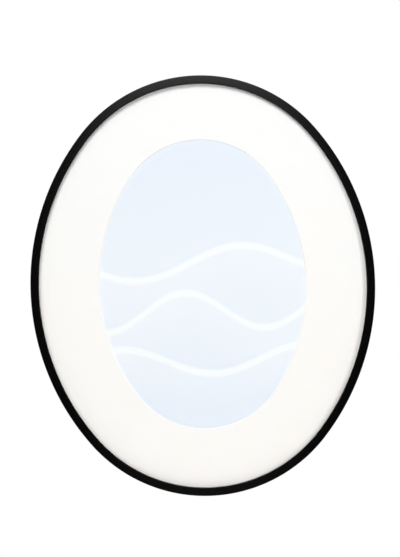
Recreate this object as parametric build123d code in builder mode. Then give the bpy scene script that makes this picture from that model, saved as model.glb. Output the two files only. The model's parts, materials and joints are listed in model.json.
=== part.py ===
from build123d import *
from math import asin, atan2, cos, degrees, hypot, radians, sin, tan
import os

# Oval picture frame, hung on a nail.
# Millimetres. +X is the viewer's right, +Z is up and the picture faces -Y.
# The origin is on the wall, where the nail stands under the top of the hanger ring.

# The picture and the rim around it
picture_width = 496.0
picture_height = 609.6
picture_play = 1.6
lip_width = 4.7
wall_width = 8.0
lip_thickness = 6.2
face_fall = 1.6
face_crown = 0.15
outer_round = 1.4
sight_round = 0.8
back_ease = 0.5

# The layers behind the lip
glazing_thickness = 2.0
mat_thickness = 1.4
print_thickness = 0.3
filler_thickness = 4.0
backing_thickness = 3.0
backing_sink = 0.15

# The oval window in the mat
window_width = 308.0
window_height = 431.6
window_rise = 2.0

# Finger joints between the four lengths of the rim
finger_count = 5
finger_length = 12.0

# Turn buttons on the back of the rim, and the screws they turn on
button_side_angle = 20.0
button_end_angle = 25.0
button_reach = 15.0
button_edge_margin = 0.1
button_tip_radius = 3.0
button_thickness = 1.1
button_edge_round = 0.25
bead_width = 1.8
bead_height = 0.4
bead_margin = 1.4
seat_gap = 0.1
screw_radius = 1.3
screw_play = 0.05
pilot_play = 0.02
pilot_relief = 0.6
screw_length = 12.0
screw_point = 2.0
screw_head_radius = 2.7
screw_head_height = 1.5
screw_head_edge = 0.5
cross_width = 0.7
cross_length = 2.8
cross_depth = 0.8

# Hanger on the backing board
nail_drop = 62.0
ring_wire_radius = 1.1
ring_half_width = 10.5
ring_shoulder = 7.0
ring_corner = 2.8
ring_end_gap = 0.4
ring_board_gap = 0.2
ring_play = 0.06
strap_thickness = 0.8
strap_side_gap = 1.2
strap_end_margin = 5.5
strap_fold_gap = 0.05
strap_fold_radius = 0.5
strap_corner = 2.5
rivet_radius = 1.5
rivet_play = 0.03
rivet_head_radius = 2.8
rivet_head_height = 1.0
rivet_tail_radius = 2.5
rivet_tail_angle = 90.0
rivet_barrel_gap = 2.5
rivet_spacing = 9.0

# Wall bumpers on the back of the rim
bumper_angle = 42.0
bumper_height = 5.0
bumper_edge_margin = 0.2
bumper_draft = 0.4
bumper_round = 0.8

# Distances in front of the wall, from the heads of the screws to the front of the rim
rim_back = bumper_height
button_seat = rim_back - seat_gap
head_seat = button_seat - button_thickness - seat_gap
backing_back = rim_back + backing_sink
backing_front = backing_back + backing_thickness
filler_front = backing_front + filler_thickness
print_front = filler_front + print_thickness
mat_front = print_front + mat_thickness
glazing_front = mat_front + glazing_thickness
rim_front = glazing_front + lip_thickness
rim_depth = rim_front - rim_back

# The rim's outer oval, and where its centre is below the nail
face_width = wall_width + lip_width
rim_half_width = picture_width / 2 + picture_play + wall_width
rim_half_height = picture_height / 2 + picture_play + wall_width
oval_centre = nail_drop - rim_half_height
rim_middle = wall_width / 2
button_pivot_radius = rim_middle - button_edge_margin
bumper_radius = rim_middle - bumper_edge_margin
board_inset = wall_width + picture_play


class Oval:
    """A four-arc oval: two tighter arcs at the ends, two flatter arcs at the sides, all tangent."""

    def __init__(self, half_width, half_height):
        diagonal = hypot(half_width, half_height)
        excess = half_height - half_width
        self.end_radius = diagonal * (diagonal - excess) / (2 * half_height)
        self.side_radius = diagonal * (diagonal + excess) / (2 * half_width)
        self.end_centre = half_height - self.end_radius
        self.side_centre = self.side_radius - half_width
        # The joint between two arcs lies where the outline faces this far above the horizontal
        self.joint_angle = degrees(atan2(self.end_centre, self.side_centre))

    def arcs(self, inset):
        """Centre, radius, first angle and turn of each arc, anticlockwise from the right side."""
        side = self.side_radius - inset
        end = self.end_radius - inset
        joint = self.joint_angle
        return [
            ((-self.side_centre, 0), side, -joint, 2 * joint),
            ((0, self.end_centre), end, joint, 180 - 2 * joint),
            ((self.side_centre, 0), side, 180 - joint, 2 * joint),
            ((0, -self.end_centre), end, 180 + joint, 180 - 2 * joint),
        ]

    def point(self, angle, inset):
        """Point that faces the given direction on the oval drawn this far inside the outline."""
        for (x, y), radius, first, turn in self.arcs(inset):
            if (angle - first) % 360 <= turn:
                return (x + radius * cos(radians(angle)), y + radius * sin(radians(angle)))

    def fill(self, inset=0.0):
        """Add the oval, drawn this far inside the outline, to the sketch in hand."""
        with BuildLine() as outline:
            for centre, radius, first, turn in self.arcs(inset):
                CenterArc(centre, radius, first, turn)
        make_face(outline.edges())


rim_oval = Oval(rim_half_width, rim_half_height)
window_oval = Oval(window_width / 2, window_height / 2)


def across(depth, x=0.0, y=0.0):
    """Plane square to the wall's normal, this far in front of the wall, seen from the front."""
    return Plane(origin=(x, -depth, oval_centre + y), x_dir=(1, 0, 0), z_dir=(0, -1, 0))


def on_back(angle, depth):
    """Plane on the middle of the rim's back, facing the wall, with X towards the oval's inside."""
    x, y = rim_oval.point(angle, rim_middle)
    inward = (-cos(radians(angle)), 0, -sin(radians(angle)))
    return Plane(origin=(x, -depth, oval_centre + y), x_dir=inward, z_dir=(0, 1, 0))


os.makedirs("parts", exist_ok=True)


def dome(radius, base, top):
    """Round cap of a revolved head, from its edge up to the axis."""
    rise = top - base
    RadiusArc((radius, base), (0, top), -(radius**2 + rise**2) / (2 * rise))


def save(builder, name):
    """Label a finished piece and write it under its own name."""
    builder.part.label = name
    export_step(builder.part, f"parts/{name}.step")


# Buttons and bumpers by the direction that the rim faces where they stand
button_angles = {
    "turn_button_right_upper": button_side_angle,
    "turn_button_top_right": 90 - button_end_angle,
    "turn_button_top_left": 90 + button_end_angle,
    "turn_button_left_upper": 180 - button_side_angle,
    "turn_button_left_lower": 180 + button_side_angle,
    "turn_button_bottom_left": 270 - button_end_angle,
    "turn_button_bottom_right": 270 + button_end_angle,
    "turn_button_right_lower": 360 - button_side_angle,
}
bumper_angles = {
    "bumper_left": 270 - bumper_angle,
    "bumper_right": 270 + bumper_angle,
}


# The rim before it is parted: one moulding profile turned about the centre of each arc
pilot_depth = screw_length - (rim_back - head_seat) + pilot_relief
with BuildPart() as rim:
    for (x, y), radius, first, turn in rim_oval.arcs(0):
        outward = Vector(cos(radians(first)), 0, sin(radians(first)))
        centre = Vector(x, -rim_front, oval_centre + y)
        section = Plane(centre + outward * radius, x_dir=outward, z_dir=outward.cross(Vector(0, 1, 0)))
        with BuildSketch(section) as moulding:
            with BuildLine():
                sight_corner = (-face_width, 0)
                outer_corner = (0, face_fall)
                Polyline(
                    outer_corner,
                    (0, rim_depth),
                    (-wall_width, rim_depth),
                    (-wall_width, lip_thickness),
                    (-face_width, lip_thickness),
                    sight_corner,
                )
                SagittaArc(sight_corner, outer_corner, -face_crown)
            make_face()
            fillet(moulding.vertices().sort_by_distance((*sight_corner, 0))[0], sight_round)
            fillet(moulding.vertices().sort_by_distance((*outer_corner, 0))[0], outer_round)
            chamfer(moulding.vertices().sort_by_distance((0, rim_depth, 0))[0], back_ease)
        revolve(axis=Axis(centre, (0, -1, 0)), revolution_arc=turn)
    for angle in button_angles.values():
        with BuildSketch(on_back(angle, rim_back)):
            Circle(screw_radius + pilot_play)
        extrude(amount=-pilot_depth, mode=Mode.SUBTRACT)


# Each length is cut from the rim by a comb of wedges, long and short by turns through the depth,
# so that its fingers fill the gaps of its neighbours
finger_thickness = rim_depth / finger_count
rim_lengths = ["rim_right", "rim_top", "rim_left", "rim_bottom"]
for place, (name, arc) in enumerate(zip(rim_lengths, rim_oval.arcs(0))):
    (x, y), radius, first, turn = arc
    half = radians(turn / 2)
    middle = first + turn / 2
    # A wedge starts well inside the rim and ends well outside it
    near = radius / 2
    far = 2 * radius / cos(half)
    with BuildPart() as comb:
        for layer in range(finger_count):
            longer = 1 if (layer + place) % 2 else -1
            shift = longer * finger_length / 2
            ends = [(t * cos(half) - shift * sin(half), t * sin(half) + shift * cos(half)) for t in (near, far)]
            with BuildSketch(across(rim_back + layer * finger_thickness, x, y)):
                with Locations(Rotation(0, 0, middle)):
                    Polygon(*ends, *[(u, -v) for u, v in reversed(ends)], align=None)
            extrude(amount=finger_thickness)
    with BuildPart() as rim_length:
        add(rim.part)
        add(comb.part, mode=Mode.INTERSECT)
    save(rim_length, name)


# Flat layers of the picture, from the glazing to the back
def layer_sheet(back, thickness):
    """Oval sheet that fills the rabbet with the picture's play around it."""
    with BuildPart() as sheet:
        with BuildSketch(across(back)):
            rim_oval.fill(board_inset)
        extrude(amount=thickness)
    return sheet


save(layer_sheet(mat_front, glazing_thickness), "glazing")
save(layer_sheet(filler_front, print_thickness), "picture_print")
save(layer_sheet(backing_front, filler_thickness), "filler_board")

# The mat's window is cut at 45 degrees, wider towards the viewer
with BuildPart() as window_mat:
    add(layer_sheet(print_front, mat_thickness).part)
    with BuildSketch(across(print_front, 0, window_rise)):
        window_oval.fill()
    with BuildSketch(across(mat_front, 0, window_rise)):
        window_oval.fill(-mat_thickness)
    loft(ruled=True, mode=Mode.SUBTRACT)
save(window_mat, "window_mat")


# Hanger: where the ring turns, and how it leans on the board
barrel_bore = ring_wire_radius + ring_play
hinge_height = barrel_bore + strap_thickness
ring_top = ring_shoulder + ring_half_width
ring_lean = asin((hinge_height - ring_wire_radius - ring_board_gap) / ring_top)
hinge_y = hinge_height - backing_back
hinge_z = -(ring_top - ring_wire_radius) * cos(ring_lean)
strap_width = 2 * (ring_half_width - ring_corner - strap_side_gap)
rivet_first = hinge_height + rivet_barrel_gap + rivet_head_radius
rivet_drops = [rivet_first, rivet_first + rivet_spacing]
strap_length = rivet_drops[-1] + strap_end_margin


def on_board(drop, depth):
    """Plane at a rivet, this far below the hinge, facing the wall."""
    return Plane(origin=(0, -depth, hinge_z - drop), x_dir=(1, 0, 0), z_dir=(0, 1, 0))


# The back has a hole for each rivet, countersunk inside so that the tail lies flush
with BuildPart() as backing_board:
    add(layer_sheet(backing_back, backing_thickness).part)
    for drop in rivet_drops:
        with Locations(on_board(drop, backing_front).location * Rotation(180, 0, 0)):
            CounterSinkHole(
                rivet_radius + rivet_play,
                rivet_tail_radius + rivet_play,
                backing_thickness,
                rivet_tail_angle,
            )
save(backing_board, "backing_board")

# The strap is one strip of sheet folded round the ring's bar and back on itself
fold_centre = barrel_bore + strap_thickness / 2
return_height = strap_thickness + strap_fold_gap - fold_centre
with BuildPart() as hanger_strap:
    with BuildSketch(Plane(origin=(0, hinge_y, hinge_z), x_dir=(0, 0, 1), z_dir=(-1, 0, 0))):
        with BuildLine():
            Line((-strap_length, -fold_centre), (0, -fold_centre))
            CenterArc((0, 0), fold_centre, -90, 270)
            FilletPolyline(
                (-fold_centre, 0),
                (-fold_centre, return_height),
                (-strap_length, return_height),
                radius=strap_fold_radius,
            )
        trace(line_width=strap_thickness)
    extrude(amount=strap_width / 2, both=True)
    fillet(hanger_strap.edges().filter_by(Axis.Y).group_by(Axis.Z)[0], strap_corner)
    for drop in rivet_drops:
        with Locations(on_board(drop, backing_back)):
            Hole(rivet_radius + rivet_play)
save(hanger_strap, "hanger_strap")

# The ring is bent from wire, with its two ends meeting inside the strap
ring_plane = Plane(
    origin=(0, hinge_y, hinge_z),
    x_dir=(1, 0, 0),
    z_dir=(0, -cos(ring_lean), -sin(ring_lean)),
)
with BuildPart() as hanger_ring:
    with BuildLine(ring_plane) as wire:
        for side in (1, -1):
            FilletPolyline(
                (side * ring_end_gap / 2, 0),
                (side * ring_half_width, 0),
                (side * ring_half_width, ring_shoulder),
                radius=ring_corner,
            )
        CenterArc((0, ring_shoulder), ring_half_width, 0, 180)
    wire_end = Plane(origin=(ring_end_gap / 2, hinge_y, hinge_z), x_dir=(0, 0, 1), z_dir=(1, 0, 0))
    with BuildSketch(wire_end):
        Circle(ring_wire_radius)
    sweep(path=Wire.combine(wire.edges())[0])
save(hanger_ring, "hanger_ring")

# Rivets with a domed head on the strap and a tail spread into the board
strap_top = backing_back - 2 * strap_thickness - strap_fold_gap
with BuildPart() as hanger_rivets:
    for drop in rivet_drops:
        plane = Plane(origin=(0, -backing_front, hinge_z - drop), x_dir=(1, 0, 0), z_dir=(0, 0, 1))
        grip = backing_front - strap_top
        spread = (rivet_tail_radius - rivet_radius) / tan(radians(rivet_tail_angle / 2))
        with BuildSketch(plane):
            with BuildLine():
                Polyline(
                    (0, grip + rivet_head_height),
                    (0, 0),
                    (rivet_tail_radius, 0),
                    (rivet_radius, spread),
                    (rivet_radius, grip),
                    (rivet_head_radius, grip),
                )
                dome(rivet_head_radius, grip, grip + rivet_head_height)
            make_face()
        revolve(axis=Axis(plane.origin, (0, 1, 0)))
save(hanger_rivets, "hanger_rivets")


# Turn buttons: a tapering plate with a pressed bead, swinging on its screw
bead_start = screw_head_radius + bead_margin
bead_end = button_reach - bead_margin
for name, angle in button_angles.items():
    with BuildPart() as turn_button:
        with BuildSketch(on_back(angle, button_seat)):
            Circle(button_pivot_radius)
            with Locations((button_reach, 0)):
                Circle(button_tip_radius)
            make_hull()
            Circle(screw_radius + screw_play, mode=Mode.SUBTRACT)
        extrude(amount=button_thickness)
        with BuildSketch(on_back(angle, button_seat - button_thickness)):
            with Locations(((bead_start + bead_end) / 2, 0)):
                SlotCenterToCenter(bead_end - bead_start - bead_width, bead_width)
        extrude(amount=bead_height)
        fillet(turn_button.faces().sort_by(Axis.Y)[-1].edges(), button_edge_round)
    save(turn_button, name)

# Pivot screws: a plain shank through the button into the wood, and a pan head with a cross
with BuildPart() as pivot_screws:
    for angle in button_angles.values():
        seat = on_back(angle, head_seat)
        with BuildSketch(Plane(origin=seat.origin, x_dir=seat.x_dir, z_dir=seat.y_dir * -1)):
            with BuildLine():
                Polyline(
                    (0, screw_head_height),
                    (0, -screw_length),
                    (screw_radius, screw_point - screw_length),
                    (screw_radius, 0),
                    (screw_head_radius, 0),
                    (screw_head_radius, screw_head_edge),
                )
                dome(screw_head_radius, screw_head_edge, screw_head_height)
            make_face()
        revolve(axis=Axis(seat.origin, (0, 1, 0)))
        with BuildSketch(on_back(angle, head_seat - screw_head_height)):
            Rectangle(cross_length, cross_width)
            Rectangle(cross_width, cross_length)
        extrude(amount=-cross_depth, mode=Mode.SUBTRACT)
save(pivot_screws, "pivot_screws")

# Bumpers: short tapered studs of rubber with a rounded face
for name, angle in bumper_angles.items():
    with BuildPart() as bumper:
        with BuildSketch(on_back(angle, rim_back)):
            Circle(bumper_radius)
        with BuildSketch(on_back(angle, 0)):
            Circle(bumper_radius - bumper_draft)
        loft()
        fillet(bumper.faces().sort_by(Axis.Y)[-1].edges(), bumper_round)
    save(bumper, name)
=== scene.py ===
# %% [markdown]
# # An oval picture frame
# A slim black rim holds a clear pane, a white mat with an oval window, a pale print and a back that turn
# buttons keep in. The construction is already modelled at its real size, so this lesson only dresses it. Each
# surface gets its finish, and a finer mesh goes where the plain solid would look faceted.

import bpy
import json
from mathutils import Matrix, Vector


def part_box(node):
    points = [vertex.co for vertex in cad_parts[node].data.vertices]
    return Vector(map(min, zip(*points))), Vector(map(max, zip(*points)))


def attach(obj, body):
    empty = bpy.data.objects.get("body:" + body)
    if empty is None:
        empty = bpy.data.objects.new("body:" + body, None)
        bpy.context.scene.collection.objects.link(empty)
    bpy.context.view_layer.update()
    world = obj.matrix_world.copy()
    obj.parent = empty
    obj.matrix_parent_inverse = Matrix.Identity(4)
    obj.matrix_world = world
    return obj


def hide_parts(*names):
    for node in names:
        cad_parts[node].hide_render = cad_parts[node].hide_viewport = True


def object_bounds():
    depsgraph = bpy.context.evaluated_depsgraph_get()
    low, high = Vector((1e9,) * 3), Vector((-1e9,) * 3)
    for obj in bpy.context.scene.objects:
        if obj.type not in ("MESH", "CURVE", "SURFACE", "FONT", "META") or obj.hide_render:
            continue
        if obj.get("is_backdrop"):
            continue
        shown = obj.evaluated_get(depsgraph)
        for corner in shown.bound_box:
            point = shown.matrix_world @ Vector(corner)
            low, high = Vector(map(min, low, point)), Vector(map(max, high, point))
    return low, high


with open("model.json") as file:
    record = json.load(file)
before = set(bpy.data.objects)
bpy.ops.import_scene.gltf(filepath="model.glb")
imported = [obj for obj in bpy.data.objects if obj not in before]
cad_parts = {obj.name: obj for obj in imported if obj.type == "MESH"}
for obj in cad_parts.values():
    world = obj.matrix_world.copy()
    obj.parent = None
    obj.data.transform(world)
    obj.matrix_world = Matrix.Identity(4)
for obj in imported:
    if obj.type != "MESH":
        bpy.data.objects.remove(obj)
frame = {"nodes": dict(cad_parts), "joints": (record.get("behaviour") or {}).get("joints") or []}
cad_low, cad_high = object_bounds()
nodes = frame["nodes"]
print("nodes", len(nodes), "size", [round(high - low, 4) for low, high in zip(cad_low, cad_high)])

# %% [markdown]
# The outline is a draughtsman's oval: two flat arcs at the sides and two tighter ones at the ends, which meet
# without a corner. An ellipse would be easier to type, but a strip cut beside an ellipse is no ellipse, while
# a strip beside this oval is the same oval with shorter radii. Four numbers therefore describe the rim, the
# pane and every finish that has to follow them.

# %% Measure the oval
import json
from math import cos, hypot, pi, radians, sin

import bmesh
import bpy
from mathutils import Vector


def four_arcs(half_width, half_height):
    """Radii of an oval's side and end arcs, and how far their centres are from its middle."""
    diagonal = hypot(half_width, half_height)
    excess = half_height - half_width
    side_radius = diagonal * (diagonal + excess) / (2 * half_width)
    end_radius = diagonal * (diagonal - excess) / (2 * half_height)
    return {
        "Side Radius": side_radius,
        "End Radius": end_radius,
        "Side Centre": side_radius - half_width,
        "End Centre": half_height - end_radius,
    }


def sheet_arcs(name):
    """The four arcs of one oval sheet, from its box."""
    low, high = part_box(name)
    return four_arcs(high.x, (high.z - low.z) / 2)


rim_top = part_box("rim_top")[1].z
rim_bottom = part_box("rim_bottom")[0].z
rim_half_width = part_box("rim_right")[1].x
centre_z = (rim_top + rim_bottom) / 2
rim_arcs = four_arcs(rim_half_width, (rim_top - rim_bottom) / 2)
print("oval centre", round(centre_z, 4), {name: round(size, 4) for name, size in rim_arcs.items()})

# %% [markdown]
# The picture was taken square on, from a few metres away, with the frame leaning a little to the left. A long
# lens keeps the rim's inner wall as narrow as it looks there. The lean could be given to the frame, but the
# frame hangs true, so the camera rolls instead.

# %% Place the camera
scene = bpy.context.scene
scene.view_settings.view_transform = "Standard"

image_width = 400
image_height = 557
oval_pixel = (202.3, 285.15)
pixel_size = 0.0014925
lean = radians(2.1)
camera_distance = 2.6


def put(name, data):
    """Object that holds this data, in the scene."""
    holder = bpy.data.objects.new(name, data)
    scene.collection.objects.link(holder)
    return holder


camera = put("camera", bpy.data.cameras.new("camera"))
scene.camera = camera
camera.data.lens = camera.data.sensor_width * camera_distance / (image_height * pixel_size)
camera.rotation_euler = (pi / 2, lean, 0)
view_right = Vector((cos(lean), 0, -sin(lean)))
view_up = Vector((sin(lean), 0, cos(lean)))
off_right = (oval_pixel[0] - (image_width - 1) / 2) * pixel_size
off_down = (oval_pixel[1] - (image_height - 1) / 2) * pixel_size
oval_front = Vector((0, cad_low.y, centre_z))
camera.location = oval_front - view_right * off_right + view_up * off_down - Vector((0, camera_distance, 0))
print("camera", [round(value, 4) for value in camera.location], "lens", round(camera.data.lens, 1))

# %% [markdown]
# Node trees are the same few gestures over and over: add a node, fill its sockets, pass a result on. These
# short helpers keep the trees below readable. A socket takes either a plain value or another node's output.

# %% Short words for nodes


def add(tree, kind, values=None, **settings):
    """New node with its settings made and its sockets filled or linked."""
    node = tree.nodes.new(kind)
    for name, value in settings.items():
        setattr(node, name, value)
    for key, value in (values or {}).items():
        if isinstance(value, bpy.types.NodeSocket):
            tree.links.new(value, node.inputs[key])
        else:
            node.inputs[key].default_value = value
    return node


def result(tree, kind, values=None, **settings):
    """First output of a new node."""
    return add(tree, kind, values, **settings).outputs[0]


def split(tree, vector):
    """The three parts of a vector."""
    return add(tree, "ShaderNodeSeparateXYZ", {0: vector}).outputs


def join(tree, x, y, z):
    """Vector of three parts."""
    return result(tree, "ShaderNodeCombineXYZ", {0: x, 1: y, 2: z})


print("words for nodes", [word.__name__ for word in (add, result, split, join)])

# %% [markdown]
# A finish is worked out over its surface: a distance, a soft step at that distance, and two tones mixed by
# the step. Blender mixes numbers, vectors and colours in one node, but each kind has its own sockets there,
# so each gets its own word here.

# %% Short words for sums and mixtures


def calc(tree, operation, *terms):
    """Result of one sum on plain values or sockets."""
    return result(tree, "ShaderNodeMath", dict(enumerate(terms)), operation=operation)


def calc_vector(tree, operation, *terms):
    """Result of one sum on vectors."""
    node = add(tree, "ShaderNodeVectorMath", dict(enumerate(terms)), operation=operation)
    return node.outputs["Value" if operation == "LENGTH" else "Vector"]


def mix_value(tree, share, low, high):
    """Value between low and high."""
    return add(tree, "ShaderNodeMix", {0: share, 2: low, 3: high}, data_type="FLOAT").outputs[0]


def mix_vector(tree, share, low, high):
    """Vector between low and high."""
    return add(tree, "ShaderNodeMix", {0: share, 4: low, 5: high}, data_type="VECTOR").outputs[1]


def mix_colour(tree, share, low, high):
    """Colour between low and high."""
    return add(tree, "ShaderNodeMix", {0: share, 6: low, 7: high}, data_type="RGBA").outputs[2]


def ramp(tree, value, low, high, start=0.0, end=1.0):
    """Smooth step from start to end as the value goes from low to high."""
    values = {0: value, 1: low, 2: high, 3: start, 4: end}
    return result(tree, "ShaderNodeMapRange", values, interpolation_type="SMOOTHSTEP")


print("words for mixtures", [word.__name__ for word in (mix_value, mix_vector, mix_colour, ramp)])

# %% [markdown]
# An effect or a shape that is needed more than once goes into a group, and its named sockets are set from
# outside. Shader groups and geometry trees open alike, because both are trees with two ends.

# %% Open a group


def new_group(name, kind, inputs, outputs):
    """Empty node group with named sockets, and its two ends."""
    tree = bpy.data.node_groups.new(name, kind)
    for label, socket in inputs.items():
        tree.interface.new_socket(label, in_out="INPUT", socket_type=socket)
    for label, socket in outputs.items():
        tree.interface.new_socket(label, in_out="OUTPUT", socket_type=socket)
    return tree, tree.nodes.new("NodeGroupInput").outputs, tree.nodes.new("NodeGroupOutput").inputs


number = "NodeSocketFloat"
arrow = "NodeSocketVector"
arc_sockets = dict.fromkeys(rim_arcs, number)
print("arc sockets", list(arc_sockets))

# %% [markdown]
# The room is a white backdrop behind the frame and a dim studio in front of it. A plain white world would do
# for the background, but the black rim would then mirror white from every side and turn grey. So what is
# mirrored is worked out by itself, and is dim where the rim's face looks. The rim's top still shines: it
# mirrors a long lamp that runs away from the wall along the ceiling, and from the wall such a strip looks
# like a wedge that narrows towards the horizon. The bottom mirrors the floor in the same way, only fainter.
# Both stop short of the horizon, so that the pane, which mirrors what is straight ahead, stays clear. Behind,
# the mirrored backdrop dims towards ceiling and floor, which gives the plated hardware its dark sides.

# %% Build the mirrored room
room_mirrored = 0.012
strip_mirrored = 1.2
floor_mirrored = 0.11
backdrop_mirrored = 0.95
corner_mirrored = 0.22
backdrop_edge = (0.0, 0.3)
strip_edge = (0.78, 0.97)
floor_edge = (-0.7, -1.0)
horizon_edge = (0.12, 0.2)
corner_edge = (0.1, 0.7)

world = bpy.data.worlds.new("studio")
scene.world = world
world.use_nodes = True
studio = world.node_tree
looking = split(studio, add(studio, "ShaderNodeTexCoord").outputs["Generated"])
behind = ramp(studio, looking["Y"], *backdrop_edge)
sideways = calc_vector(studio, "LENGTH", join(studio, looking["X"], 0.0, looking["Z"]))
steepness = calc(studio, "DIVIDE", looking["Z"], sideways)
strip = ramp(studio, steepness, *strip_edge, 0.0, strip_mirrored)
ground = ramp(studio, steepness, *floor_edge, 0.0, floor_mirrored)
height = calc(studio, "ABSOLUTE", looking["Z"])
off_horizon = ramp(studio, height, *horizon_edge)
in_front = calc(studio, "MULTIPLY_ADD", calc(studio, "ADD", strip, ground), off_horizon, room_mirrored)
at_back = ramp(studio, height, *corner_edge, backdrop_mirrored, corner_mirrored)
mirrored = mix_value(studio, behind, in_front, at_back)
print("world", world.name, "nodes", len(studio.nodes))

# %% [markdown]
# The world then answers each ray by its kind. To the eye it is plain white, to a reflection it is the
# mirrored room, and through the pane it is the backdrop. One brightness for all would be simpler, but the
# light that bounces about has to be dim, so that the lamps do the modelling.

# %% Light the room
room_light = 0.21
pure_white = (1, 1, 1, 1)

ray = add(studio, "ShaderNodeLightPath").outputs
through = mix_value(studio, behind, room_light, 1.0)
level = mix_value(studio, ray["Is Transmission Ray"], room_light, through)
level = mix_value(studio, ray["Is Glossy Ray"], level, mirrored)
level = mix_value(studio, ray["Is Camera Ray"], level, 1.0)
backdrop = studio.nodes["Background"]
backdrop.inputs["Color"].default_value = pure_white
studio.links.new(level, backdrop.inputs["Strength"])
print("room light", room_light, "nodes", len(studio.nodes))

# %% [markdown]
# Four soft boxes light the frame. The one overhead throws the rim's shadow onto the mat, two at the sides
# fill it, and the last lights the back. Lamps show in polished surfaces as hard white patches, so these are
# hidden from reflections and the room alone is mirrored.

# %% Hang the lamps
softboxes = [
    {"name": "overhead_softbox", "place": (-0.35, -2.1, 1.27), "width": 1.8, "height": 1.0, "power": 45},
    {"name": "right_softbox", "place": (1.4, -1.75, -0.2), "width": 0.6, "height": 1.0, "power": 14.8},
    {"name": "left_softbox", "place": (-1.3, -2.2, -0.6), "width": 1.2, "height": 1.2, "power": 7.9},
    {"name": "back_softbox", "place": (-0.9, 2.2, 1.2), "width": 1.6, "height": 1.2, "power": 44},
]


def softbox(name, place, width, height, power):
    """Rectangular lamp that faces the middle of the oval."""
    lamp = bpy.data.lights.new(name, "AREA")
    lamp.shape = "RECTANGLE"
    lamp.size = width
    lamp.size_y = height
    lamp.energy = power
    holder = put(name, lamp)
    holder.location = place
    holder.rotation_euler = (Vector((0, 0, centre_z)) - holder.location).to_track_quat("-Z", "Y").to_euler()
    holder.visible_glossy = False
    holder.visible_transmission = False
    return holder


lamps = [softbox(**row) for row in softboxes]
print("lamps", [lamp.name for lamp in lamps])

# %% [markdown]
# The floor lies below the picture's edge and keeps the frame's shadow in the other views. A square sheet
# would show its corners, so it is a disc, which melts into the backdrop alike from every side.

# %% Lay the floor
floor_drop = 0.25
floor_radius = 0.92
floor_steps = 96


def put_shape(name, shape):
    """Object with the mesh of a finished shape, in the scene."""
    mesh = bpy.data.meshes.new(name)
    shape.to_mesh(mesh)
    shape.free()
    return put(name, mesh)


floor_height = cad_low.z - floor_drop
disc = bmesh.new()
bmesh.ops.create_circle(disc, cap_ends=True, segments=floor_steps, radius=floor_radius)
bmesh.ops.translate(disc, verts=disc.verts, vec=(0, 0, floor_height))
floor = put_shape("floor", disc)
floor.visible_glossy = False
floor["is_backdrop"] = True
print("floor at", round(floor_height, 3))

# %% [markdown]
# The floor's paint is pale, matt and hardly mottled. Towards the edge of the disc it turns into the white of
# the backdrop. A paler paint there would also throw more light about, so the change is made for the eye
# alone.

# %% Paint the floor
floor_dark = (0.84, 0.84, 0.83, 1)
floor_light = (0.88, 0.88, 0.88, 1)
floor_roughness = 0.8
mottle_scale = 9
mottle_detail = 3
melt_edge = (0.45 * floor_radius, 0.97 * floor_radius)


def blank_material(name):
    """New material, its tree and its shader."""
    material = bpy.data.materials.new(name)
    material.use_nodes = True
    return material, material.node_tree, material.node_tree.nodes["Principled BSDF"]


def noise(tree, place, scale, detail, roughness=0.5):
    """Cloudy noise between 0 and 1."""
    values = {"Vector": place, "Scale": scale, "Detail": detail, "Roughness": roughness}
    return result(tree, "ShaderNodeTexNoise", values)


def give_way(tree, shader, share, other):
    """Let another surface take the shader's place by this share."""
    mixed = result(tree, "ShaderNodeMixShader", {0: share, 1: shader.outputs[0], 2: other})
    tree.links.new(mixed, tree.nodes["Material Output"].inputs["Surface"])


floor_paint, tree, shader = blank_material("floor_paint")
spot = add(tree, "ShaderNodeTexCoord").outputs["Object"]
mottle = noise(tree, spot, mottle_scale, mottle_detail)
tree.links.new(mix_colour(tree, mottle, floor_dark, floor_light), shader.inputs["Base Color"])
shader.inputs["Roughness"].default_value = floor_roughness
from_middle = calc_vector(tree, "LENGTH", calc_vector(tree, "MULTIPLY", spot, (1, 1, 0)))
ray = add(tree, "ShaderNodeLightPath").outputs
melted = calc(tree, "MULTIPLY", ramp(tree, from_middle, *melt_edge), ray["Is Camera Ray"])
glow = result(tree, "ShaderNodeEmission", {"Color": pure_white, "Strength": 1.0})
give_way(tree, shader, melted, glow)
floor.data.materials.append(floor_paint)
print("floor paint melts from", [round(edge, 3) for edge in melt_edge])

# %% [markdown]
# Two finishes follow an oval: the grain runs round the rim, and the sawn edge runs round the back. One effect
# serves both. It tells how far a point lies inside an oval and which way the oval faces there. Polar
# coordinates about the middle would be simpler, but only a circle keeps them parallel to its edge.

# %% Find the way into the oval
oval_group, given, made = new_group(
    "oval_inset",
    "ShaderNodeTree",
    {"Vector": arrow, **arc_sockets},
    {"Inset": number, "Facing": arrow},
)
spot = split(oval_group, given["Vector"])
across = calc(oval_group, "ABSOLUTE", spot["X"])
upward = calc(oval_group, "ABSOLUTE", spot["Z"])
to_side = calc(oval_group, "MULTIPLY", given["End Centre"], across)
past_end = calc(oval_group, "SUBTRACT", upward, given["End Centre"])
to_end = calc(oval_group, "MULTIPLY", given["Side Centre"], past_end)
on_side = calc(oval_group, "GREATER_THAN", to_side, to_end)
from_side = join(oval_group, calc(oval_group, "ADD", across, given["Side Centre"]), 0.0, upward)
from_end = join(oval_group, across, 0.0, past_end)
spoke = mix_vector(oval_group, on_side, from_end, from_side)
radius = mix_value(oval_group, on_side, given["End Radius"], given["Side Radius"])
inset = calc(oval_group, "SUBTRACT", radius, calc_vector(oval_group, "LENGTH", spoke))
signs = join(oval_group, calc(oval_group, "SIGN", spot["X"]), 0.0, calc(oval_group, "SIGN", spot["Z"]))
facing = calc_vector(oval_group, "MULTIPLY", calc_vector(oval_group, "NORMALIZE", spoke), signs)
oval_group.links.new(inset, made["Inset"])
oval_group.links.new(facing, made["Facing"])


def oval_in(tree, place, arcs):
    """How far inside the oval a point is, and which way the oval faces there."""
    return add(tree, "ShaderNodeGroup", {"Vector": place, **arcs}, node_tree=oval_group).outputs


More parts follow.
